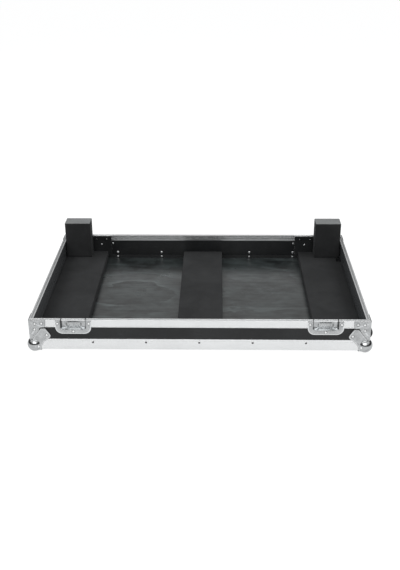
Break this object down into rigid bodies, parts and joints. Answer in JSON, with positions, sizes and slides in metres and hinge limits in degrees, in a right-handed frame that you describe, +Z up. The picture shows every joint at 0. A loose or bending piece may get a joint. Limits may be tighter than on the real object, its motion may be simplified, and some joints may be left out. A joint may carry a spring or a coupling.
{
  "type": "mixer flight case",
  "caption": "Low open tray of a wheeled flight case with metal edges, ball corners, recessed lid latches, foam strips and blocks inside, and a fold-down rear flap.",
  "frame": {"origin": "on the ground, under the centre of the whole part's bounding box", "axes": "+X along the length to the wheeled end, +Y from the latched front to the rear flap, +Z up"},
  "size_m": [1.097, 0.7372, 0.1855],
  "materials": {
    "aluminium": "satin",
    "plated_steel": "satin",
    "laminate": "satin",
    "plywood": "matte",
    "foam": "matte",
    "tyre": "satin"
  },
  "bodies": {
    "tray": {"floor_panel": "plywood", "front_wall": "laminate", "left_wall": "laminate", "right_wall": "laminate", "rear_wall": "laminate", "front_rim": "aluminium", "left_rim": "aluminium", "right_rim": "aluminium", "rear_rim_left": "aluminium", "rear_rim_right": "aluminium", "base_angle_front": "aluminium", "base_angle_left": "aluminium", "base_angle_right": "aluminium", "base_angle_rear": "aluminium", "corner_angle_front_left": "aluminium", "corner_angle_front_right": "aluminium", "corner_angle_rear_left": "aluminium", "corner_angle_rear_right": "aluminium", "corner_brace_front_left": "plated_steel", "corner_brace_front_right": "plated_steel", "corner_brace_rear_left": "plated_steel", "corner_brace_rear_right": "plated_steel", "ball_corner_front_left": "plated_steel", "ball_corner_front_right": "plated_steel", "ball_corner_rear_left": "plated_steel", "ball_corner_rear_right": "plated_steel", "latch_dish_left": "plated_steel", "latch_dish_right": "plated_steel", "latch_strike_left": "plated_steel", "latch_strike_right": "plated_steel", "hinge_fixed_leaf": "plated_steel", "hinge_pin": "aluminium", "flap_bolt_plate_left": "plated_steel", "flap_bolt_plate_right": "plated_steel", "wheel_housing_front": "plated_steel", "wheel_housing_rear": "plated_steel", "wheel_axle_front": "aluminium", "wheel_axle_rear": "aluminium", "foam_strip_left": "foam", "foam_strip_centre": "foam", "foam_strip_right": "foam", "foam_block_left": "foam", "foam_block_right": "foam", "base_rivet_1": "aluminium", "base_rivet_2": "aluminium", "base_rivet_3": "aluminium", "base_rivet_4": "aluminium", "base_rivet_5": "aluminium"},
    "flap": {"flap_panel": "laminate", "flap_rim": "aluminium", "hinge_flap_leaf": "plated_steel", "flap_keeper_left": "plated_steel", "flap_keeper_right": "plated_steel"},
    "left_bolt": {"flap_bolt_left": "plated_steel"},
    "right_bolt": {"flap_bolt_right": "plated_steel"},
    "front_wheel": {"wheel_front": "tyre"},
    "rear_wheel": {"wheel_rear": "tyre"}
  },
  "joints": [
    {"name": "flap_hinge", "type": "hinge", "parent": "tray", "child": "flap", "pos_m": [-0.0075, 0.35295, 0.0345], "axis": [-1, 0, 0], "range_deg": [0, 105]},
    {"name": "left_bolt_slide", "type": "slide", "parent": "tray", "child": "left_bolt", "axis": [1, 0, 0], "range_m": [0, 0.022]},
    {"name": "right_bolt_slide", "type": "slide", "parent": "tray", "child": "right_bolt", "axis": [-1, 0, 0], "range_m": [0, 0.022]},
    {"name": "front_wheel_spin", "type": "hinge", "parent": "tray", "child": "front_wheel", "pos_m": [0.5245, -0.26965, 0.0275], "axis": [0, 1, 0], "continuous": true},
    {"name": "rear_wheel_spin", "type": "hinge", "parent": "tray", "child": "rear_wheel", "pos_m": [0.5245, 0.26235, 0.0275], "axis": [0, 1, 0], "continuous": true}
  ]
}
